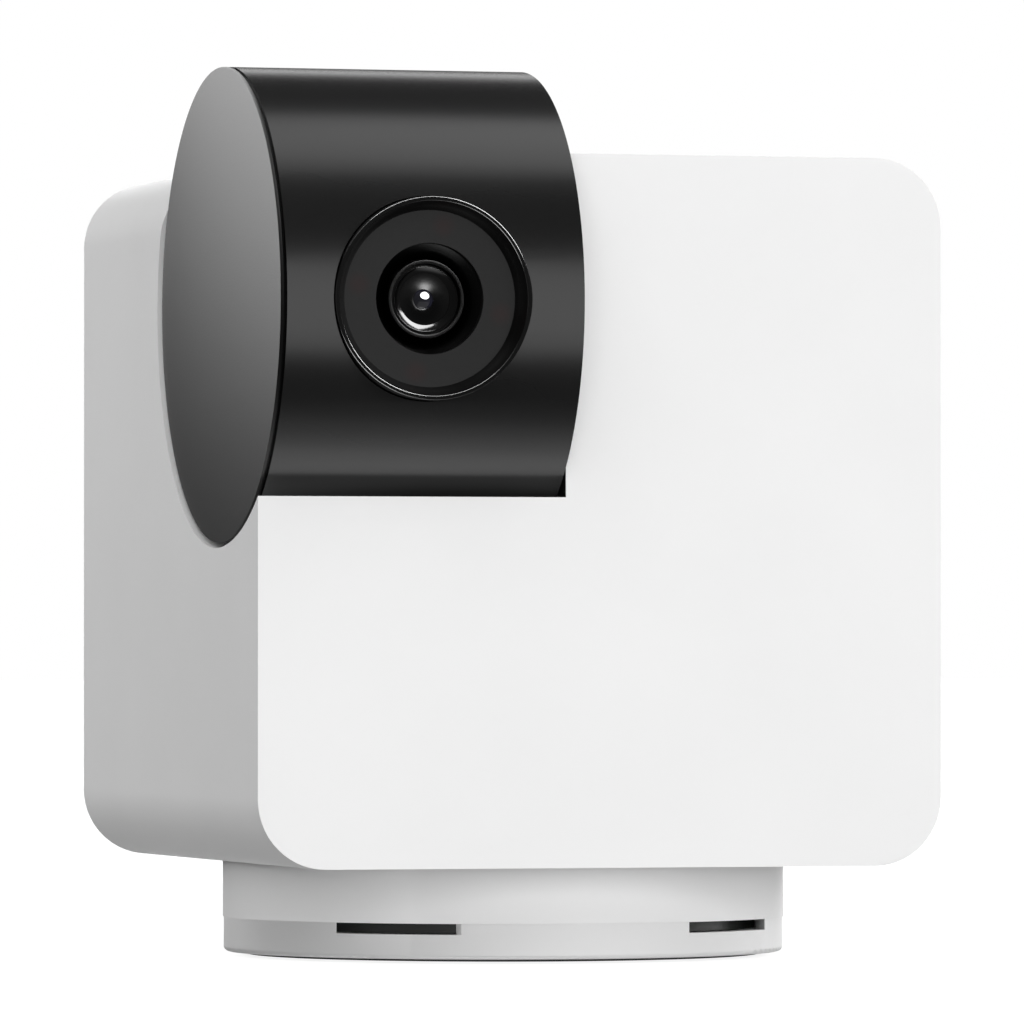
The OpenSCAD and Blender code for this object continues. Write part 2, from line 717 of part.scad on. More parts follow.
module speaker() color("dimgray") {
    bar_y(cover_y - speaker_rim, cover_y - seat_gap, 0, speaker_z, speaker_r);
    bar_y(cover_y - speaker_basket, cover_y - speaker_rim, 0, speaker_z, basket_r);
    bar_y(cover_y - speaker_l, cover_y - speaker_basket, 0, speaker_z, magnet_r);
}

module wifi_antenna() color("orange")
    box(body_x - wall - antenna_t, body_x - wall, rear_y - antenna_in - antenna_l, rear_y - antenna_in,
        ceiling_z - antenna_drop - antenna_h, ceiling_z - antenna_drop);

module power_lead_upper() color("dimgray") {
    rise = power_run_z - power_bend;
    run = power_rise_y - power_bend;
    bar_z(spindle_top + 1.05, rise, 0, 0, power_r);
    translate([0, power_bend, rise]) rotate([90, 0, -90]) quarter_bend(power_bend, power_r);
    bar_y(power_bend, run, 0, power_run_z, power_r);
    translate([0, run, power_run_z + power_bend]) rotate([-90, 0, 90]) quarter_bend(power_bend, power_r);
    bar_z(power_run_z + power_bend, power_plug_z + 0.5, 0, power_rise_y, power_r);
    box(-plug_w / 2, plug_w / 2, board_y - plug_t, board_y, power_plug_z, power_plug_z + plug_h);
}

module camera_lead_inner() color("dimgray") {
    bar_x(trunnion_end + 0.05, camera_lead_x - camera_bend, axis_y, axis_z, lead_r);
    translate([camera_lead_x - camera_bend, axis_y + camera_bend, axis_z]) rotate(-90)
        quarter_bend(camera_bend, lead_r);
    bar_y(axis_y + camera_bend, board_y - plug_t + 0.5, camera_lead_x, axis_z, lead_r);
    box(camera_lead_x - plug_w / 2, camera_lead_x + plug_w / 2, board_y - plug_t, board_y,
        axis_z - plug_h / 2, axis_z + plug_h / 2);
}

// Reset button, which slides in the rear cover
module reset_button() color("white") {
    bar_y(board_y + board_t + switch_t + button_travel + 0.05, rear_y - button_sink,
        button_at[0], button_at[1], button_r);
    bar_y(cover_y - seat_gap - button_flange_t, cover_y - seat_gap, button_at[0], button_at[1], button_flange);
}

// Motor pinions with their shafts
module pan_pinion() color("ivory") translate([pan_shaft[0], pan_shaft[1], 0]) {
    translate([0, 0, sun_z - 0.1]) linear_extrude(gear_t + 0.2) rotate(mesh_turn(pan_dir, sun_teeth))
        polygon(gear_outline(pinion_teeth));
    bar_z(sun_z, motor_z + shaft_in, 0, 0, shaft_r);
}

module tilt_pinion() color("ivory") {
    slab_x(tilt_gear_x - 0.1, tilt_gear_x + gear_t + 0.1, axis_y + tilt_shaft[0], axis_z + tilt_shaft[1])
        rotate(mesh_turn(tilt_dir, tilt_teeth)) polygon(gear_outline(pinion_teeth));
    bar_x(tilt_gear_x, bracket_right + shaft_in, axis_y + tilt_shaft[0], axis_z + tilt_shaft[1], shaft_r);
}

// Barrel, which tilts in the notch
module barrel_shell() color("#222222") difference() {
    union() {
        difference() {
            bar_x(shell_left, barrel_right, axis_y, axis_z, barrel_r);
            bar_x(shell_left - cut, barrel_right - end_wall, axis_y, axis_z, barrel_r - barrel_wall);
        }
        intersection() {
            bar_x(shell_left, barrel_right, axis_y, axis_z, barrel_r - barrel_wall / 2);
            union() {
                bar_y(axis_y - barrel_r, bezel_y + seat_s, lens_x, axis_z, boss_r);
                sensor_post_places() bar_y(axis_y - barrel_r, bezel_y + sensor_s, 0, 0, post_r);
            }
        }
    }
    bar_y(axis_y - barrel_r - cut, bezel_y + seat_s + cut, lens_x, axis_z, bezel_r + bezel_gap);
    bar_y(bezel_y + seat_s, axis_y, lens_x, axis_z, flange_r + 0.15);
    sensor_post_places() bar_y(bezel_y + sensor_s - 4, bezel_y + sensor_s + cut, 0, 0, screw_r + snug);
    bezel_screw_places() bar_y(bezel_y + seat_s - 1.6, bezel_y + seat_s + cut, 0, 0, screw_r * 0.6 + snug);
    bar_x(barrel_right - end_wall - cut, barrel_right + cut, axis_y, axis_z, hub_hole_r);
    hub_screw_places() bar_x(-end_wall - cut, -0.3, 0, 0, screw_r * 0.8 + snug);
}

module sensor_post_places()
    for (x = [-1, 1], z = [-1, 1])
        translate([lens_x + x * post_off, 0, axis_z + z * post_off]) children();

module bezel_screw_places()
    for (a = [30, 150, 210, 330])
        translate([lens_x + bezel_screw_at * cos(a), 0, axis_z + bezel_screw_at * sin(a)]) children();

module hub_screw_places()
    for (a = [20:90:290])
        translate([barrel_right, axis_y + (hub_hole_r + hub_plate_r) / 2 * cos(a),
            axis_z + (hub_hole_r + hub_plate_r) / 2 * sin(a)]) children();

module end_cap() color("#4a4a4a") {
    bar_x(barrel_left, barrel_left + cap_lip, axis_y, axis_z, barrel_r);
    bar_x(barrel_left, shell_left, axis_y, axis_z, barrel_r - groove_depth);
    difference() {
        bar_x(barrel_left, shell_left + cap_spigot, axis_y, axis_z, barrel_r - barrel_wall - snug);
        bar_x(shell_left + 0.6, shell_left + cap_spigot + cut, axis_y, axis_z, barrel_r - 2 * barrel_wall);
    }
}

module trunnion_hub() color("#2a2a2a") difference() {
    union() {
        bar_x(barrel_right - end_wall - hub_plate_t, barrel_right - end_wall, axis_y, axis_z, hub_plate_r);
        bar_x(barrel_right - end_wall - hub_plate_t, barrel_right, axis_y, axis_z, hub_hole_r - 0.1);
        bar_x(barrel_right - cut, trunnion_end, axis_y, axis_z, trunnion_r);
    }
    bar_x(barrel_right - end_wall - hub_plate_t - cut, trunnion_end + cut, axis_y, axis_z, hub_bore);
    hub_screw_places() bar_x(-end_wall - hub_plate_t - cut, -end_wall + cut, 0, 0, screw_r * 0.8 + snug);
    difference() {
        bar_x(trunnion_clip_x - clip_gap / 2, trunnion_clip_x + clip_t + clip_gap / 2, axis_y, axis_z,
            trunnion_r + cut);
        bar_x(trunnion_clip_x - cut, trunnion_clip_x + clip_t + cut, axis_y, axis_z, trunnion_r - clip_bite);
    }
}

module hub_screws() color("silver")
    hub_screw_places() translate([-end_wall - hub_plate_t, 0, 0]) rotate([0, -90, 0])
        screw(screw_r * 0.8, hub_plate_t + end_wall - 0.4, head_r * 0.8, head_h);

module tilt_gear() color("ivory") difference() {
    slab_x(tilt_gear_x, tilt_gear_x + gear_t, axis_y, axis_z) polygon(gear_outline(tilt_teeth));
    bar_x(tilt_gear_x - cut, tilt_gear_x + gear_t + cut, axis_y, axis_z, trunnion_r + snug);
}

module trunnion_clip() color("gray")
    slab_x(trunnion_clip_x, trunnion_clip_x + clip_t, axis_y, axis_z) open_clip(trunnion_r, trunnion_clip_r);

// Lens, back from the bezel
module lens_bezel() color("#111111") difference() {
    lens_turn() {
        polygon([[bezel_r, lip_edge], [bezel_r, seat_s], [flange_r, seat_s], [flange_r, seat_s + flange_t],
            [window_seat, seat_s + flange_t], [window_seat, window_depth], [window_r, window_depth],
            [bezel_r - lip_w, lip_edge]]);
        hull() for (r = [bezel_r - lip_edge, bezel_r - lip_w + lip_edge])
            translate([r, lip_edge]) circle(lip_edge, $fn = 32);
    }
    bezel_screw_places()
        bar_y(bezel_y + seat_s - cut, bezel_y + seat_s + flange_t + cut, 0, 0, screw_r * 0.6 + snug);
}

module bezel_screws() color("gray")
    bezel_screw_places() translate([0, bezel_y + seat_s + flange_t, 0]) rotate([-90, 0, 0])
        screw(screw_r * 0.6, flange_t + 1.4, head_r * 0.5, head_h * 0.7);

module lens_window() color("#383838")
    lens_turn() translate([window_hole_r, window_depth]) square([window_seat - 0.05 - window_hole_r, window_t]);

module infrared_places()
    for (a = [79:90:349])
        translate([lens_x + 6.9 * cos(a), 0, axis_z + 6.9 * sin(a)]) children();

module infrared_leds() color("#5a2020")
    infrared_places() box(-1.1, 1.1, bezel_y + ir_s - led_t, bezel_y + ir_s, -0.7, 0.7);

module infrared_board() color("darkgreen")
    lens_turn() translate([window_hole_r + hood_wall + 0.1, ir_s])
        square([window_seat - 0.1 - window_hole_r - hood_wall - 0.1, ir_t]);

module lens_hood() color("black")
    lens_turn() polygon([[window_hole_r, window_depth + window_t],
        [window_hole_r + hood_wall, window_depth + window_t], [window_hole_r + hood_wall, hood_s],
        [window_seat - 0.05, hood_s], [window_seat - 0.05, hood_s + hood_t],
        [lens_r + 0.1, hood_s + hood_t], [lens_r + 0.1, hood_s - 0.2]]);

module lens_tube() color("#151515")
    lens_turn() {
        translate([lens_r - 0.34, lens_s]) square([0.34, lens_end - lens_s]);
        translate([lens_r - 1.2, lens_s + 1.6]) square([1.2, lens_end - lens_s - 1.6]);
    }

module lens_retainer() color("#0c0c0c")
    lens_turn() polygon([[lens_r - 0.36, lens_s + 0.3], [lens_r - 0.36, lens_s + 1.2],
        [pupil_r + 0.2, lens_s + 1.2], [pupil_r, lens_s + 1.1],
        [lens_r - 1.02, lens_s + 0.58], [lens_r - 1.02, lens_s + 0.3]]);

module front_element() color("midnightblue")
    lens_turn() intersection() {
        translate([0, lens_s + 0.75]) square([lens_r - 0.36, 0.85]);
        union() {
            translate([0, lens_s + 1.2]) square([lens_r - 0.36, 0.4]);
            translate([0, lens_s + 0.75 + 1.4]) circle(1.4, $fn = 48);
        }
    }

module lens_holder() color("#202020") difference() {
    box(lens_x - holder_w / 2, lens_x + holder_w / 2, bezel_y + holder_s, bezel_y + sensor_s,
        axis_z - holder_w / 2, axis_z + holder_w / 2);
    bar_y(bezel_y + holder_s - cut, bezel_y + sensor_s + cut, lens_x, axis_z, lens_r + snug);
    box(lens_x - 4.5, lens_x + 4.5, bezel_y + lens_end + 0.1, bezel_y + sensor_s + cut,
        axis_z - 4.5, axis_z + 4.5);
}

module image_sensor() color("slategray")
    box(lens_x - sensor_w / 2, lens_x + sensor_w / 2, bezel_y + sensor_s - sensor_t, bezel_y + sensor_s,
        axis_z - sensor_h / 2, axis_z + sensor_h / 2);

module sensor_board() color("darkgreen") difference() {
    box(lens_x - sensor_board_w / 2, lens_x + sensor_board_w / 2, bezel_y + sensor_s,
        bezel_y + sensor_s + board_t, axis_z - sensor_board_w / 2, axis_z + sensor_board_w / 2);
    sensor_post_places()
        bar_y(bezel_y + sensor_s - cut, bezel_y + sensor_s + board_t + cut, 0, 0, screw_r + 0.2);
}

module sensor_screws() color("gray")
    sensor_post_places() translate([0, bezel_y + sensor_s + board_t, 0]) rotate([-90, 0, 0])
        screw(screw_r, board_t + sensor_bite, head_r, head_h);

module camera_lead_outer() color("dimgray") {
    start_y = bezel_y + sensor_s + board_t;
    box(lens_x - plug_w / 2, lens_x + plug_w / 2, start_y, start_y + plug_t,
        axis_z - plug_h / 2, axis_z + plug_h / 2);
    bar_y(start_y + plug_t - 0.5, axis_y - camera_bend, lens_x, axis_z, lead_r);
    translate([lens_x + camera_bend, axis_y - camera_bend, axis_z]) rotate(90) quarter_bend(camera_bend, lead_r);
    bar_x(lens_x + camera_bend, trunnion_end, axis_y, axis_z, lead_r);
}

base_foot();
base_collar();
foot_pad();
base_screws();
pan_spindle();
spindle_screws();
thrust_washer();
pan_sun_gear();
spindle_clip();
base_board();
usb_port();
usb_tongue();
power_lead_lower();
body_shell();
rear_cover();
cover_screws();
pan_motor();
pan_motor_screws();
tilt_bracket();
bracket_screws();
inner_bushing();
outer_bushing();
tilt_motor();
tilt_motor_screws();
main_board();
board_screws();
shield_can();
reset_switch();
microphone();
mic_gasket();
speaker();
wifi_antenna();
power_lead_upper();
camera_lead_inner();
reset_button();
pan_pinion();
tilt_pinion();
barrel_shell();
end_cap();
trunnion_hub();
hub_screws();
tilt_gear();
trunnion_clip();
lens_bezel();
bezel_screws();
lens_window();
infrared_leds();
infrared_board();
lens_hood();
lens_tube();
lens_retainer();
front_element();
lens_holder();
image_sensor();
sensor_board();
sensor_screws();
camera_lead_outer();
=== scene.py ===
"""Looks of the pan and tilt pet camera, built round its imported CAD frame."""
import json
import math

import bmesh
import bpy
from mathutils import Matrix, Vector


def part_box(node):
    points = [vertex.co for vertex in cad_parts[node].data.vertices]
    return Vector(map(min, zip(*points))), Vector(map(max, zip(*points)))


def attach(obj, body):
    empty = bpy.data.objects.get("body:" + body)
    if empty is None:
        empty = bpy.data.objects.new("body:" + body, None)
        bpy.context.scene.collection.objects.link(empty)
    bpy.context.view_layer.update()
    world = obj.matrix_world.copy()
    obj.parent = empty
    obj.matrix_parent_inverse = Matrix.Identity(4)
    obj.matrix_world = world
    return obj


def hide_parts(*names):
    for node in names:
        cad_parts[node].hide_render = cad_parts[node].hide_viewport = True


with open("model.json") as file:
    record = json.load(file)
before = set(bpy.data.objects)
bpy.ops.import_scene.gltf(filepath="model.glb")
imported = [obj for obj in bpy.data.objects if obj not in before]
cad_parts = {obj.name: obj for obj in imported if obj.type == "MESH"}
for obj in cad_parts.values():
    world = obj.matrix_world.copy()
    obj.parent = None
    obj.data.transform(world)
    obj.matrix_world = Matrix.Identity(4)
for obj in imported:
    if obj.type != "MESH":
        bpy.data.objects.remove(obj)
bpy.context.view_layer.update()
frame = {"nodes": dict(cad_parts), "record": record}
nodes = frame["nodes"]
scene = bpy.context.scene
MM = 0.001


def box_mm(node):
    """Lowest and highest corner of a CAD node, in millimetres."""
    low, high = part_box(node)
    return Vector(low) / MM, Vector(high) / MM


# Places taken from the frame, in millimetres
tube_low, tube_high = box_mm("lens_tube")
lens_middle = (tube_low + tube_high) / 2
lens_front = tube_low.y
lens_radius = (tube_high.x - tube_low.x) / 2
element_low, element_high = box_mm("front_element")
pad_low, pad_high = box_mm("foot_pad")
tongue_low, tongue_high = box_mm("usb_tongue")
led_low, led_high = box_mm("infrared_leds")
cap_low, cap_high = box_mm("end_cap")
barrel_right = box_mm("barrel_shell")[1].x


# Materials
def new_material(name):
    """A new material, with its node tree and its shader."""
    material = bpy.data.materials.new(name)
    material.use_nodes = True
    tree = material.node_tree
    return material, tree, tree.nodes["Principled BSDF"]


def grey(value):
    return (value, value, value)


def opaque(colour):
    return (*colour, 1)


def object_place(tree):
    """Place of a point in the object's own space."""
    return tree.nodes.new("ShaderNodeTexCoord").outputs["Object"]


def object_noise(tree, size_mm, detail, roughness=0.5):
    """Noise in the object's own space, with features about size_mm across."""
    noise = tree.nodes.new("ShaderNodeTexNoise")
    noise.inputs["Scale"].default_value = 1.0 / (size_mm * MM)
    noise.inputs["Detail"].default_value = detail
    noise.inputs["Roughness"].default_value = roughness
    tree.links.new(object_place(tree), noise.inputs["Vector"])
    return noise.outputs["Fac"]


def ramp(tree, noise, low, high):
    """Colour that runs from low to high over the middle of a noise's range."""
    start = 0.3
    end = 0.7
    node = tree.nodes.new("ShaderNodeValToRGB")
    node.color_ramp.elements[0].position = start
    node.color_ramp.elements[1].position = end
    node.color_ramp.elements[0].color = opaque(low)
    node.color_ramp.elements[1].color = opaque(high)
    tree.links.new(noise, node.inputs["Fac"])
    return node.outputs["Color"]


def paint_over(material, share, paint):
    """Mixes a share of a plain paint into a material's colour."""
    tree = material.node_tree
    base = tree.nodes["Principled BSDF"].inputs["Base Color"]
    mix = tree.nodes.new("ShaderNodeMixRGB")
    mix.inputs["Color2"].default_value = opaque(paint)
    tree.links.new(share, mix.inputs["Fac"])
    tree.links.new(base.links[0].from_socket, mix.inputs["Color1"])
    tree.links.new(mix.outputs["Color"], base)


def moulded(name, low, high, rough, rough_spread, grain_mm, grain_depth, specular=0.5):
    """Moulded plastic: slight cloudiness in its colour, and a fine grain in its gloss and its surface."""
    cloud_mm = 18.0
    material, tree, shader = new_material(name)
    cloud = object_noise(tree, cloud_mm, detail=3.0)
    tree.links.new(ramp(tree, cloud, low, high), shader.inputs["Base Color"])
    grain = object_noise(tree, grain_mm, detail=2.0, roughness=0.6)
    gloss = ramp(tree, grain, grey(rough - rough_spread), grey(rough + rough_spread))
    tree.links.new(gloss, shader.inputs["Roughness"])
    bump = tree.nodes.new("ShaderNodeBump")
    bump.inputs["Strength"].default_value = 1.0
    bump.inputs["Distance"].default_value = grain_depth * MM
    tree.links.new(grain, bump.inputs["Height"])
    tree.links.new(bump.outputs["Normal"], shader.inputs["Normal"])
    shader.inputs["Specular IOR Level"].default_value = specular
    return material


def metal(name, low, high, rough, grain_mm):
    """Plated or sintered metal with a fine grain in its colour and its gloss."""
    rough_spread = 0.08
    material, tree, shader = new_material(name)
    grain = object_noise(tree, grain_mm, detail=4.0, roughness=0.7)
    tree.links.new(ramp(tree, grain, low, high), shader.inputs["Base Color"])
    gloss = ramp(tree, grain, grey(rough - rough_spread), grey(rough + rough_spread))
    tree.links.new(gloss, shader.inputs["Roughness"])
    shader.inputs["Metallic"].default_value = 1.0
    return material


def coated_glass(name):
    """Dark lens glass under a clear coating."""
    tint_mm = 1.2
    smear_mm = 0.4
    material, tree, shader = new_material(name)
    tint = object_noise(tree, tint_mm, detail=1.0)
    deep = ramp(tree, tint, (0.002, 0.002, 0.003), (0.004, 0.004, 0.007))
    tree.links.new(deep, shader.inputs["Base Color"])
    smear = object_noise(tree, smear_mm, detail=3.0)
    tree.links.new(ramp(tree, smear, grey(0.03), grey(0.07)), shader.inputs["Roughness"])
    shader.inputs["IOR"].default_value = 1.7
    shader.inputs["Specular IOR Level"].default_value = 0.6
    shader.inputs["Coat Weight"].default_value = 0.6
    shader.inputs["Coat Roughness"].default_value = 0.03
    return material


def tinted_window(name):
    """Dark infrared window: its LEDs show through it as faint reddish spots."""
    led_count = 4
    first_turn = 79
    led_reach = 6.9
    spot_radius = 0.9
    fade_radius = 1.9
    spot_share = 0.3
    spot_red = (0.035, 0.009, 0.009)
    material = moulded(name, grey(0.012), grey(0.014), 0.4, 0.03, 0.2, 0.0008, 0.1)
    tree = material.node_tree
    middle = (led_low + led_high) / 2
    for k in range(led_count):
        turn = math.radians(first_turn + 360 * k / led_count)
        away = Vector((math.cos(turn), 0, math.sin(turn))) * led_reach
        gap = tree.nodes.new("ShaderNodeVectorMath")
        gap.operation = "DISTANCE"
        gap.inputs[1].default_value = (middle + away) * MM
        tree.links.new(object_place(tree), gap.inputs[0])
        fade = tree.nodes.new("ShaderNodeMapRange")
        fade.interpolation_type = "SMOOTHSTEP"
        fade.inputs["From Min"].default_value = spot_radius * MM
        fade.inputs["From Max"].default_value = fade_radius * MM
        fade.inputs["To Min"].default_value = spot_share
        fade.inputs["To Max"].default_value = 0.0
        tree.links.new(gap.outputs["Value"], fade.inputs["Value"])
        paint_over(material, fade.outputs["Result"], spot_red)
    return material


def painted_wall_shade(material):
    """Painted shade on the shell's wall beside the barrel: faces that look left at the barrel's right end
    are darkened.
    """
    fade_start = -0.9
    fade_end = -0.98
    margin = 1
    tree = material.node_tree
    where = tree.nodes.new("ShaderNodeTexCoord")
    facing = tree.nodes.new("ShaderNodeSeparateXYZ")
    tree.links.new(where.outputs["Normal"], facing.inputs["Vector"])
    left = tree.nodes.new("ShaderNodeMapRange")
    left.inputs["From Min"].default_value = fade_start
    left.inputs["From Max"].default_value = fade_end
    tree.links.new(facing.outputs["X"], left.inputs["Value"])
    place = tree.nodes.new("ShaderNodeSeparateXYZ")
    tree.links.new(where.outputs["Object"], place.inputs["Vector"])
    inner = tree.nodes.new("ShaderNodeMath")
    inner.operation = "GREATER_THAN"
    inner.inputs[1].default_value = (barrel_right - margin) * MM
    tree.links.new(place.outputs["X"], inner.inputs[0])
    shade_share = tree.nodes.new("ShaderNodeMath")
    shade_share.operation = "MULTIPLY"
    tree.links.new(left.outputs["Result"], shade_share.inputs[0])
    tree.links.new(inner.outputs["Value"], shade_share.inputs[1])
    # painted shade: near black mixed into the wall that lies in shadow beside the barrel's end
    paint_over(material, shade_share.outputs["Value"], grey(0.011))
    return material


# Each slot's finish: two colours, roughness and its spread, grain size and depth in mm, and specular
materials = {
    "white_shell": moulded("white_moulded", grey(0.84), grey(0.86), 0.5, 0.05, 0.18, 0.003, 0.4),
    "black_barrel": moulded("black_satin", grey(0.009), grey(0.011), 0.256, 0.012, 0.25, 0.0003, 0.34),
    "dark_cap": moulded("dark_matt", grey(0.0018), grey(0.0024), 0.5, 0.03, 0.14, 0.001),
    "gloss_black": moulded("polished_black", grey(0.0006), grey(0.001), 0.14, 0.02, 0.3, 0.0002, 0.6),
    "dark_window": tinted_window("infrared_window"),
    "black_inner": moulded("matt_black", grey(0.0012), grey(0.0016), 0.33, 0.04, 0.15, 0.0003, 0.3),
    "lens_glass": coated_glass("lens_coating"),
    "sensor": moulded("sensor_cover", (0.02, 0.03, 0.05), (0.03, 0.045, 0.07), 0.15, 0.03, 0.2, 0.0005),
    "led_lens": moulded("led_red", (0.05, 0.008, 0.008), (0.07, 0.012, 0.01), 0.2, 0.04, 0.2, 0.001),
    "rubber": moulded("pad_rubber", grey(0.035), grey(0.05), 0.75, 0.08, 0.25, 0.01, 0.3),
    "steel": metal("plated_steel", grey(0.45), grey(0.58), 0.37, 0.12),
    "brass": metal("sintered_bronze", (0.46, 0.3, 0.12), (0.58, 0.4, 0.18), 0.42, 0.1),
    "gear_plastic": moulded("acetal", (0.62, 0.6, 0.54), (0.68, 0.66, 0.6), 0.4, 0.05, 0.2, 0.002),
    "inner_plastic": moulded("inner_moulded", grey(0.36), grey(0.41), 0.55, 0.05, 0.2, 0.004),
    "circuit_board": moulded(
        "solder_mask", (0.026, 0.029, 0.027), (0.036, 0.039, 0.036), 0.4, 0.06, 0.4, 0.002
    ),
    "antenna_film": moulded("film", (0.28, 0.12, 0.02), (0.36, 0.16, 0.03), 0.34, 0.05, 0.3, 0.001),
    "lead": moulded("lead_jacket", grey(0.012), grey(0.02), 0.6, 0.06, 0.2, 0.004),
}
for part in frame["record"]["subparts"]:
    node = nodes[part["node"]]
    node.data.materials.clear()
    node.data.materials.append(materials[part["material_slot"]])
# The body shell's copy of the white finish carries painted shade on its wall beside the barrel
nodes["body_shell"].data.materials[0] = painted_wall_shade(materials["white_shell"].copy())


# Soft edges on the CAD pieces that show
def soften(name, width_mm):
    """Rounds a CAD node's sharp edges by modifiers and shades it smooth. Its points stay put."""
    weld_reach = 1e-6
    sharp_degrees = 32
    face_weight = 80
    node = nodes[name]
    normals = node.data.attributes.get("custom_normal")
    if normals is not None:
        node.data.attributes.remove(normals)
    for polygon in node.data.polygons:
        polygon.use_smooth = True
    weld = node.modifiers.new("weld", "WELD")
    weld.merge_threshold = weld_reach
    bevel = node.modifiers.new("edges", "BEVEL")
    bevel.width = width_mm * MM
    bevel.segments = 3
    bevel.limit_method = "ANGLE"
    bevel.angle_limit = math.radians(sharp_degrees)
    bevel.miter_outer = "MITER_ARC"
    shade = node.modifiers.new("normals", "WEIGHTED_NORMAL")
    shade.weight = face_weight


EDGE_WIDTHS_MM = {
    "body_shell": 0.22,
    "rear_cover": 0.15,
    "base_foot": 0.12,
    "base_collar": 0.12,
    "barrel_shell": 0.28,
    "end_cap": 0.14,
    "lens_bezel": 0.13,
    "lens_window": 0.06,
    "lens_hood": 0.04,
    "lens_tube": 0.06,
    "cover_screws": 0.1,
    "reset_button": 0.2,
    "usb_port": 0.05,
    "usb_tongue": 0.08,
}
for name, width_mm in EDGE_WIDTHS_MM.items():
    soften(name, width_mm)


# New pieces, in millimetres
def add_piece(name, mesh, body, slot, sharp_degrees=40):
    """Puts a mesh in the scene, smooth between sharp edges, riding on a body with a slot's finish."""
    work = bmesh.new()
    work.from_mesh(mesh)
    bmesh.ops.recalc_face_normals(work, faces=work.faces)
    work.to_mesh(mesh)
    work.free()
    mesh.shade_smooth()
    mesh.set_sharp_from_angle(angle=math.radians(sharp_degrees))
    mesh.materials.append(materials[slot])
    piece = bpy.data.objects.new(name, mesh)
    scene.collection.objects.link(piece)
    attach(piece, body)
    return piece


def arc(middle, radius, start, end, steps):
    """Points of a circle in a profile, from one angle to another in degrees."""
    points = []
    for k in range(steps + 1):
        turn = math.radians(start + (end - start) * k / steps)
        points.append((middle[0] + radius * math.cos(turn), middle[1] + radius * math.sin(turn)))
    return points


def turned(name, profile, place, closed):
    """Mesh of a profile of radius and depth, turned round an axis. place puts its points in the scene."""
    steps = 128
    points = []
    rings = []
    for radius, depth in profile:
        count = steps if radius > 0 else 1
        rings.append((len(points), count))
        for k in range(count):
            turn = 2 * math.pi * k / steps
            points.append(place(radius * math.cos(turn), radius * math.sin(turn), depth) * MM)
    pairs = list(zip(rings, rings[1:]))
    if closed:
        pairs.append((rings[-1], rings[0]))
    faces = []
    for (ring, ring_count), (other, other_count) in pairs:
        for k in range(steps):
            after = (k + 1) % steps
            corners = [
                ring + k % ring_count,
                ring + after % ring_count,
                other + after % other_count,
                other + k % other_count,
            ]
            faces.append(list(dict.fromkeys(corners)))
    mesh = bpy.data.meshes.new(name)
    mesh.from_pydata(points, [], faces)
    return mesh


def on_lens_axis(across, up, depth):
    """A point beside the lens axis, with its depth behind the front of the lens tube."""
    return Vector((lens_middle.x + across, lens_front + depth, lens_middle.z + up))


def upright(x, y, z):
    return Vector((x, y, z))


# Sizes that the lens pieces share
RETAINER_BACK = 1.2
LENS_MOUTH = 0.95
DOME_GAP = 0.02


def make_lens_ring():
    """Ring that holds the lens in its tube, with a round crest and a polished slope inside it."""
    tube_wall = 0.36
    crest_inset = 0.66
    crest_depth = 0.42
    crest_round = 0.055
    slope_width = 0.58
    slope_end = 0.61
    face_depth = 0.45
    outside = lens_radius - tube_wall
    crest = lens_radius - crest_inset
    bell_edge = crest - slope_width
    front = [(outside, RETAINER_BACK), (outside, face_depth)]
    lip = arc((crest, crest_depth), crest_round, start=10, end=-150, steps=10)
    slope = [(bell_edge, slope_end), (bell_edge, RETAINER_BACK)]
    mesh = turned("lens_ring", front + lip + slope, on_lens_axis, closed=True)
    ring = add_piece("lens_ring", mesh, "barrel", "gloss_black", sharp_degrees=50)
    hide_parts("lens_retainer")
    return ring, bell_edge


def make_lens_bell(edge, mouth):
    """Satin bell inside the lens ring, from the ring's slope down to the front element."""
    steps = 16
    front = 0.66
    fall = 0.42
    back_step = 0.06
    face = []
    for k in range(steps + 1):
        inward = k / steps
        face.append((edge - (edge - mouth) * inward, front + fall * inward ** 2))
    profile = [(edge, RETAINER_BACK)] + face + [(mouth + back_step, RETAINER_BACK)]
    mesh = turned("lens_bell", profile, on_lens_axis, closed=True)
    bell = add_piece("lens_bell", mesh, "barrel", "black_inner")
    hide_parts("lens_retainer")
    return bell


def make_lens_dome(edge):
    """Front element: a coated dome on a flat rim."""
    bulge = 1.5
    rim_depth = 1.22
    rim_step = 0.02
    top = element_low.y - lens_front
    back = element_high.y - lens_front
    outside = (element_high.x - element_low.x) / 2
    spread = math.degrees(math.asin(edge / bulge))
    cap = arc((0, top + bulge), bulge, start=-90, end=-90 + spread, steps=24)
    cap[0] = (0, top)
    rim = [(edge + rim_step, rim_depth), (outside, rim_depth), (outside, back), (0, back)]
    mesh = turned("lens_dome", cap + rim, on_lens_axis, closed=False)
    dome = add_piece("lens_dome", mesh, "barrel", "lens_glass")
    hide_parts("front_element")
    return dome


def make_foot_pad():
    """Rubber pad with concentric grooves in its underside."""
    top_chamfer = 0.1
    low_round = 0.3
    first_groove = 2.4
    pitch = 3.2
    half_mouth = 0.8
    half_bottom = 0.45
    groove_depth = 0.3
    inmost = 3
    outside = (pad_high.x - pad_low.x) / 2
    thick = pad_high.z - pad_low.z
    profile = [(0, thick), (outside - top_chamfer, thick), (outside, thick - top_chamfer)]
    profile += arc((outside - low_round, low_round), low_round, start=0, end=-90, steps=4)
    radius = outside - first_groove
    while radius > inmost:
        profile.append((radius + half_mouth, 0))
        profile.append((radius + half_bottom, groove_depth))
        profile.append((radius - half_bottom, groove_depth))
        profile.append((radius - half_mouth, 0))
        radius -= pitch
    profile.append((0, 0))
    mesh = turned("foot_pad_ribs", profile, upright, closed=False)
    pad = add_piece("foot_pad_ribs", mesh, "base", "rubber")
    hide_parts("foot_pad")


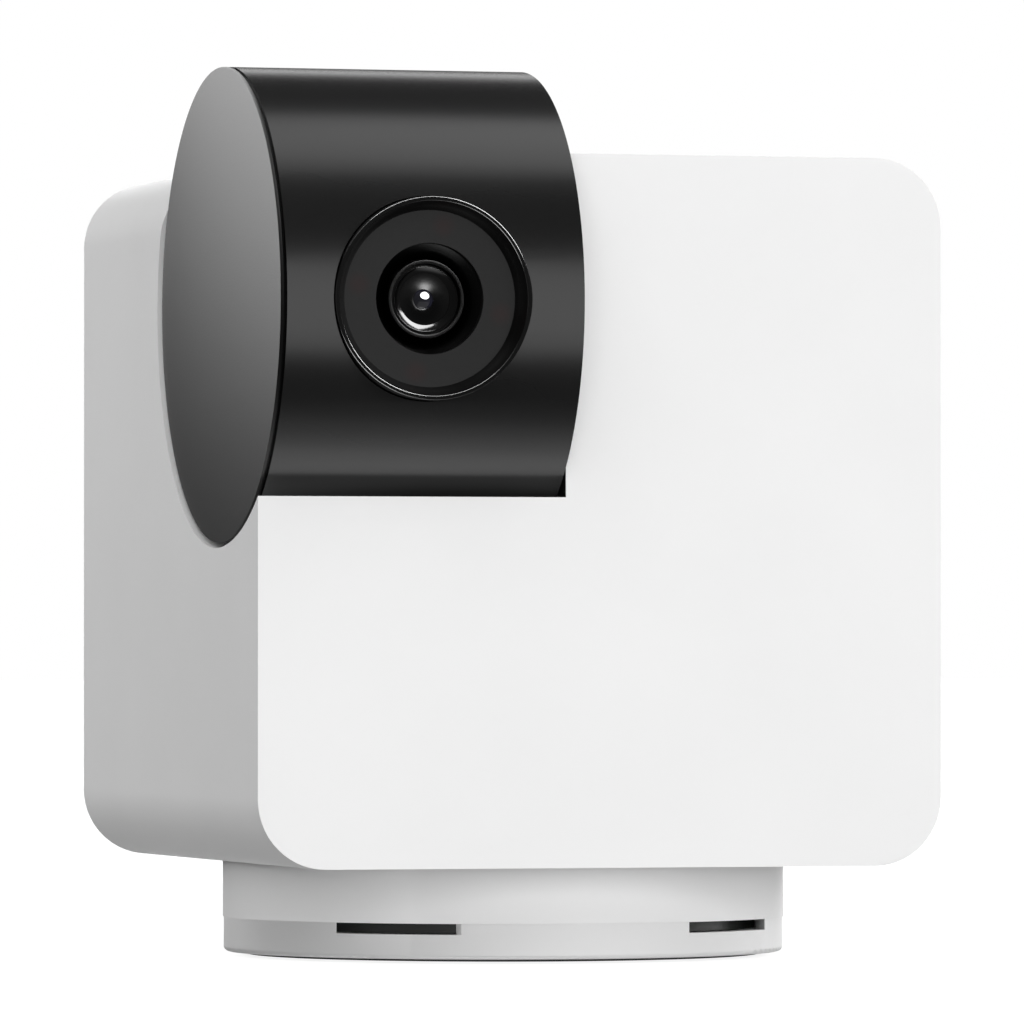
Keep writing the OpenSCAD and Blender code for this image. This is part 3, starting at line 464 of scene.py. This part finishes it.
def make_usb_contacts():
    """Two rows of plated contacts on the port's tongue, with those that meet first set further out."""
    count = 12
    pitch = 0.5
    size = Vector((0.26, 3.6, 0.06))
    edge_break = 0.012
    meet_first = (0, 3, 8, 11)
    first_setback = 0.5
    setback = 0.8
    work = bmesh.new()
    for face in (tongue_low.z, tongue_high.z):
        for k in range(count):
            end = tongue_high.y - (first_setback if k in meet_first else setback)
            middle = Vector(((k - (count - 1) / 2) * pitch, end - size.y / 2, face))
            place = Matrix.Translation(middle * MM) @ Matrix.Diagonal((*size, 1))
            bmesh.ops.create_cube(work, size=MM, matrix=place)
    bmesh.ops.bevel(work, geom=work.edges[:], offset=edge_break * MM, segments=1, affect="EDGES")
    mesh = bpy.data.meshes.new("usb_contacts")
    work.to_mesh(mesh)
    work.free()
    add_piece("usb_contacts", mesh, "base", "brass")


lens_ring, bell_edge = make_lens_ring()
lens_bell = make_lens_bell(bell_edge, LENS_MOUTH)
lens_dome = make_lens_dome(LENS_MOUTH - DOME_GAP)
make_foot_pad()
make_usb_contacts()


# Camera, as fitted to the photograph, in metres and degrees, with its lens in millimetres
def make_camera():
    place = Vector((-0.2478, -0.8546, 0.03016))
    heading = math.radians(16.226)
    rise = math.radians(0.803)
    data = bpy.data.cameras.new("camera")
    data.sensor_width = 36.0
    data.lens = 323.3
    data.clip_start = 0.05
    data.clip_end = 50.0
    camera = bpy.data.objects.new("camera", data)
    scene.collection.objects.link(camera)
    look = Vector((math.sin(heading) * math.cos(rise), math.cos(heading) * math.cos(rise), math.sin(rise)))
    camera.location = place
    camera.rotation_euler = look.to_track_quat("-Z", "Y").to_euler()
    scene.camera = camera


make_camera()


# Floor, hidden from bounced and mirrored rays, which meet the room below it instead
def make_floor():
    half_width = 6.0
    drop_mm = 0.2
    # Its glow runs from near_glow close to the part to far_glow far off: painted shade round the part's
    # foot, and painted light where the lamps' light falls off
    glow_starts = 0.06
    glow_ends = 0.4
    near_glow = 0.86
    far_glow = 1.05
    mesh = bpy.data.meshes.new("floor")
    corners = [(x * half_width, y * half_width, 0) for x, y in ((-1, -1), (1, -1), (1, 1), (-1, 1))]
    mesh.from_pydata(corners, [], [(0, 1, 2, 3)])
    floor = bpy.data.objects.new("floor", mesh)
    floor.location.z = -drop_mm * MM
    floor.visible_diffuse = False
    floor.visible_glossy = False
    scene.collection.objects.link(floor)
    material, tree, shader = new_material("pale_floor")
    shader.inputs["Base Color"].default_value = opaque(grey(0.3))
    shader.inputs["Roughness"].default_value = 0.9
    shader.inputs["Specular IOR Level"].default_value = 0.0
    shader.inputs["Emission Color"].default_value = opaque(grey(1))
    reach = tree.nodes.new("ShaderNodeVectorMath")
    reach.operation = "LENGTH"
    tree.links.new(object_place(tree), reach.inputs[0])
    glow = tree.nodes.new("ShaderNodeMapRange")
    glow.inputs["From Min"].default_value = glow_starts
    glow.inputs["From Max"].default_value = glow_ends
    glow.inputs["To Min"].default_value = near_glow
    glow.inputs["To Max"].default_value = far_glow
    tree.links.new(reach.outputs["Value"], glow.inputs["Value"])
    tree.links.new(glow.outputs["Result"], shader.inputs["Emission Strength"])
    mesh.materials.append(material)
    return floor


floor = make_floor()


# Studio light, and the places that it aims at, in metres
MIDDLE = Vector((0, 0, 0.045))
LENS = on_lens_axis(0, 0, 0) * MM
SIDE = Vector((-0.033, 0.012, 0.05))
DISC = Vector((cap_low.x, (cap_low.y + cap_high.y) / 2, (cap_low.z + cap_high.z) / 2)) * MM


def softbox(name, azimuth, elevation, distance, width, height, radiance, target=MIDDLE):
    """A rectangular light that faces its target, from an azimuth right of the front and an elevation.

    Angles are in degrees and sizes in metres.
    """
    turn = math.radians(azimuth)
    lift = math.radians(elevation)
    away = Vector((math.sin(turn) * math.cos(lift), -math.cos(turn) * math.cos(lift), math.sin(lift)))
    across = Vector((math.cos(turn), math.sin(turn), 0))
    data = bpy.data.lights.new(name, "AREA")
    data.shape = "RECTANGLE"
    data.size = width
    data.size_y = height
    data.energy = radiance * math.pi * width * height
    light = bpy.data.objects.new(name, data)
    axes = Matrix((across, away.cross(across), away)).transposed()
    light.matrix_world = Matrix.Translation(target + away * distance) @ axes.to_4x4()
    light.visible_camera = False
    scene.collection.objects.link(light)
    return light


def light_group(name, pieces, state):
    """A collection for light linking, with its pieces all included or all excluded."""
    group = bpy.data.collections.new(name)
    for piece in pieces:
        group.objects.link(piece)
    for item in group.collection_objects:
        item.light_linking.link_state = state
    return group


def only_on(light, *pieces):
    """Lets a light fall on these pieces alone, past the floor, the body's shell and the base."""
    light.light_linking.receiver_collection = light_group(light.name + "_on", pieces, "INCLUDE")
    passed = [floor, nodes["body_shell"], nodes["base_collar"], nodes["base_foot"]]
    light.light_linking.blocker_collection = light_group(light.name + "_past", passed, "EXCLUDE")


def not_on(light, *pieces):
    """Lets a light fall on all but these pieces."""
    light.light_linking.receiver_collection = light_group(light.name + "_off", pieces, "EXCLUDE")


base_foot = nodes["base_foot"]
barrel_shell = nodes["barrel_shell"]
end_cap = nodes["end_cap"]
lens_bezel = nodes["lens_bezel"]
lens_tube = nodes["lens_tube"]
lens_window = nodes["lens_window"]
lens_inside = [lens_ring, lens_bell, lens_dome, nodes["lens_hood"]]

# Lights round the part, with the pieces that each leaves out or, for the top box, falls on
not_on(softbox("front_strip", 8, -1, 1.2, 2.2, 0.95, 2.6), end_cap, lens_bezel, lens_tube, *lens_inside)
not_on(softbox("front_left", -62, 0, 1.2, 0.8, 0.6, 0.4), end_cap, base_foot, *lens_inside)
not_on(softbox("upper_right", 62, 42, 1.2, 0.9, 0.7, 3.0), barrel_shell, lens_bezel, *lens_inside)
not_on(softbox("upper_left", -35, 48, 1.2, 0.9, 0.6, 2.0), end_cap, *lens_inside)
only_on(softbox("top_box", 67, 72, 1.0, 0.6, 0.36, 2.7), barrel_shell, lens_window)
not_on(softbox("left_fill", -118, 25, 0.45, 0.34, 0.34, 3.1, SIDE), end_cap, base_foot, *lens_inside)
not_on(softbox("right_fill", 95, 15, 1.2, 0.9, 0.9, 2.0), barrel_shell, lens_bezel, *lens_inside)
softbox("rear_high", 158, 27, 1.4, 1.2, 0.24, 1.7)
rear_fill = softbox("rear_fill", 160, 6, 1.4, 0.9, 0.9, 3.0)
not_on(rear_fill, floor, barrel_shell, end_cap, lens_bezel, lens_tube, *lens_inside)

# Lights for the barrel, the foot, the end cap and the lens alone
only_on(softbox("barrel_low", 120, -72, 0.5, 0.5, 0.14, 0.6, LENS), barrel_shell)
only_on(softbox("foot_left", -150, 15, 0.45, 0.34, 0.34, 2.9, SIDE), base_foot)
only_on(softbox("disc_panel", 248, 46.8, 0.044, 0.105, 0.105, 4.0, DISC), end_cap)
lens_key = softbox("lens_key", 25, 29, 1.0, 1.25, 0.95, 14.0, LENS)
lens_key.data.shape = "ELLIPSE"
only_on(lens_key, lens_dome)
only_on(softbox("dome_low", 15, -45, 0.5, 0.8, 0.6, 0.14, LENS), lens_dome)
only_on(softbox("bell_low", 15, -54, 0.5, 0.35, 0.3, 20.0, LENS), lens_bell)
only_on(softbox("ring_key", 45, 40, 1.0, 1.1, 0.7, 16.0, LENS), lens_ring, lens_tube)
only_on(softbox("bezel_right", 65, 38, 1.2, 1.0, 0.8, 32.0, LENS), lens_bezel)
only_on(softbox("bezel_top", 10, 62, 1.2, 1.2, 0.4, 24.0, LENS), lens_bezel)
only_on(softbox("bezel_low", -40, -40, 1.2, 2.0, 0.6, 9.0, LENS), lens_bezel)


def make_world():
    """A white backdrop to the camera, and to everything else a dim room that glows from below."""
    glow_by_height = (
        (0.0, 2.6),
        (0.02, 2.4),
        (0.05, 1.1),
        (0.12, 0.12),
        (0.4, 0.08),
        (0.8, 0.08),
        (1.0, 0.15),
    )
    world = bpy.data.worlds.new("studio")
    scene.world = world
    world.use_nodes = True
    tree = world.node_tree
    tree.nodes.clear()
    backdrop = tree.nodes.new("ShaderNodeBackground")
    backdrop.inputs["Color"].default_value = opaque(grey(1))
    place = tree.nodes.new("ShaderNodeTexCoord")
    split = tree.nodes.new("ShaderNodeSeparateXYZ")
    height = tree.nodes.new("ShaderNodeMapRange")
    height.inputs["From Min"].default_value = -1.0
    tree.links.new(place.outputs["Generated"], split.inputs["Vector"])
    tree.links.new(split.outputs["Z"], height.inputs["Value"])
    glow = tree.nodes.new("ShaderNodeValToRGB")
    elements = glow.color_ramp.elements
    while len(elements) < len(glow_by_height):
        elements.new(1.0)
    for element, (position, strength) in zip(elements, glow_by_height):
        element.position = position
        element.color = opaque(grey(strength))
    tree.links.new(height.outputs["Result"], glow.inputs["Fac"])
    room = tree.nodes.new("ShaderNodeBackground")
    tree.links.new(glow.outputs["Color"], room.inputs["Color"])
    path = tree.nodes.new("ShaderNodeLightPath")
    mix = tree.nodes.new("ShaderNodeMixShader")
    output = tree.nodes.new("ShaderNodeOutputWorld")
    tree.links.new(path.outputs["Is Camera Ray"], mix.inputs["Fac"])
    tree.links.new(room.outputs["Background"], mix.inputs[1])
    tree.links.new(backdrop.outputs["Background"], mix.inputs[2])
    tree.links.new(mix.outputs["Shader"], output.inputs["Surface"])


make_world()
scene.view_settings.view_transform = "Standard"
